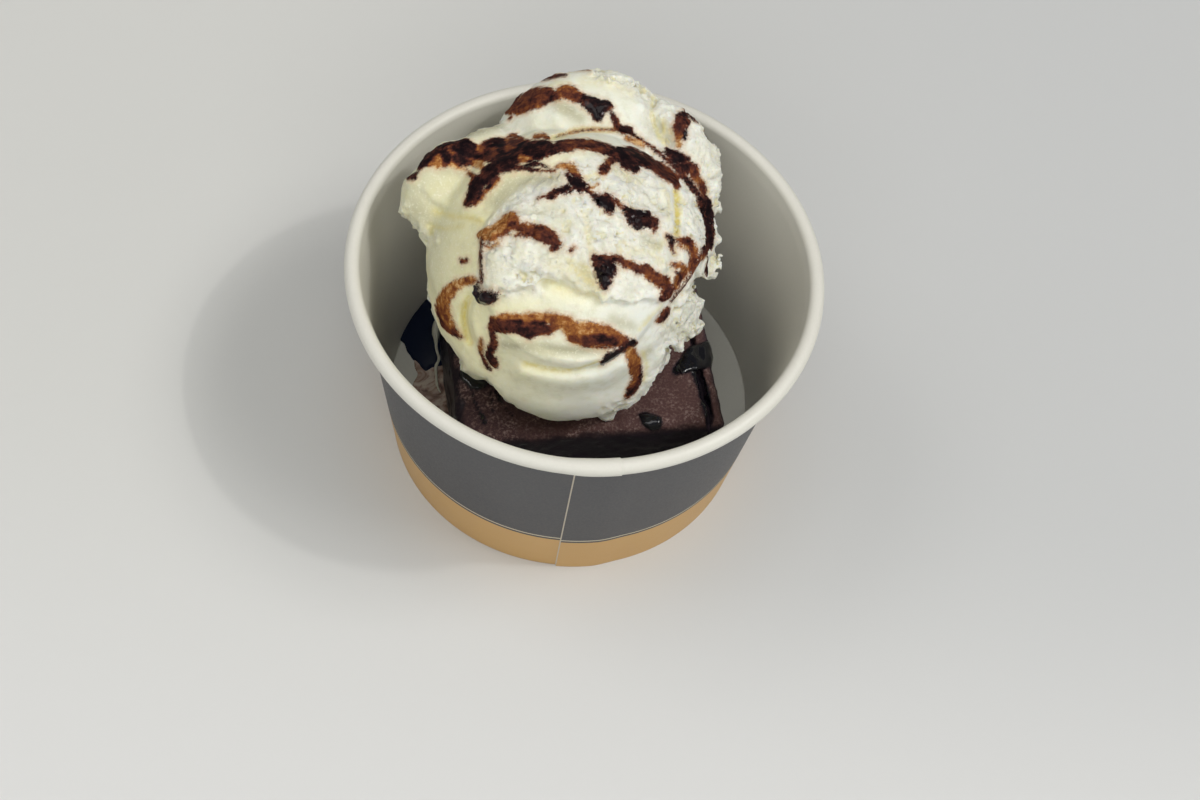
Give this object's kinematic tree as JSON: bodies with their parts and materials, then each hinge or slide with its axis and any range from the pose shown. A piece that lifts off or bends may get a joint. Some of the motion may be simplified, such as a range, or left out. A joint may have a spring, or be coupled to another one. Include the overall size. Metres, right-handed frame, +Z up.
{
  "type": "brownie with ice cream",
  "caption": "Square chocolate brownie under a large scoop of vanilla ice cream with chocolate syrup trails, in a round tapered paper cup with a rolled rim.",
  "frame": {"origin": "on the cup's axis, level with the foot of the cup", "axes": "+Z up along the cup's axis; -Y faces the cup's overlapped seam and the brownie's open front"},
  "size_m": [0.096, 0.096, 0.0814],
  "materials": {
    "cup_paper": "matte printed paper, dark grey over a kraft brown band, white inside and on the rim",
    "cup_floor_paper": "satin coated white paper",
    "brownie_crumb": "dense dark chocolate crumb with a fine grainy crust",
    "vanilla_ice_cream": "soft cream white, smooth where scooped and crumbly on the folds, with glossy chocolate syrup",
    "chocolate_syrup": "wet gloss",
    "melted_cream": "wet, streaked with syrup"
  },
  "bodies": {
    "root": {"cup_wall": "cup_paper", "cup_floor": "cup_floor_paper", "brownie": "brownie_crumb", "ice_cream": "vanilla_ice_cream", "syrup_pool": "chocolate_syrup", "melted_cream": "melted_cream"}
  },
  "joints": []
}
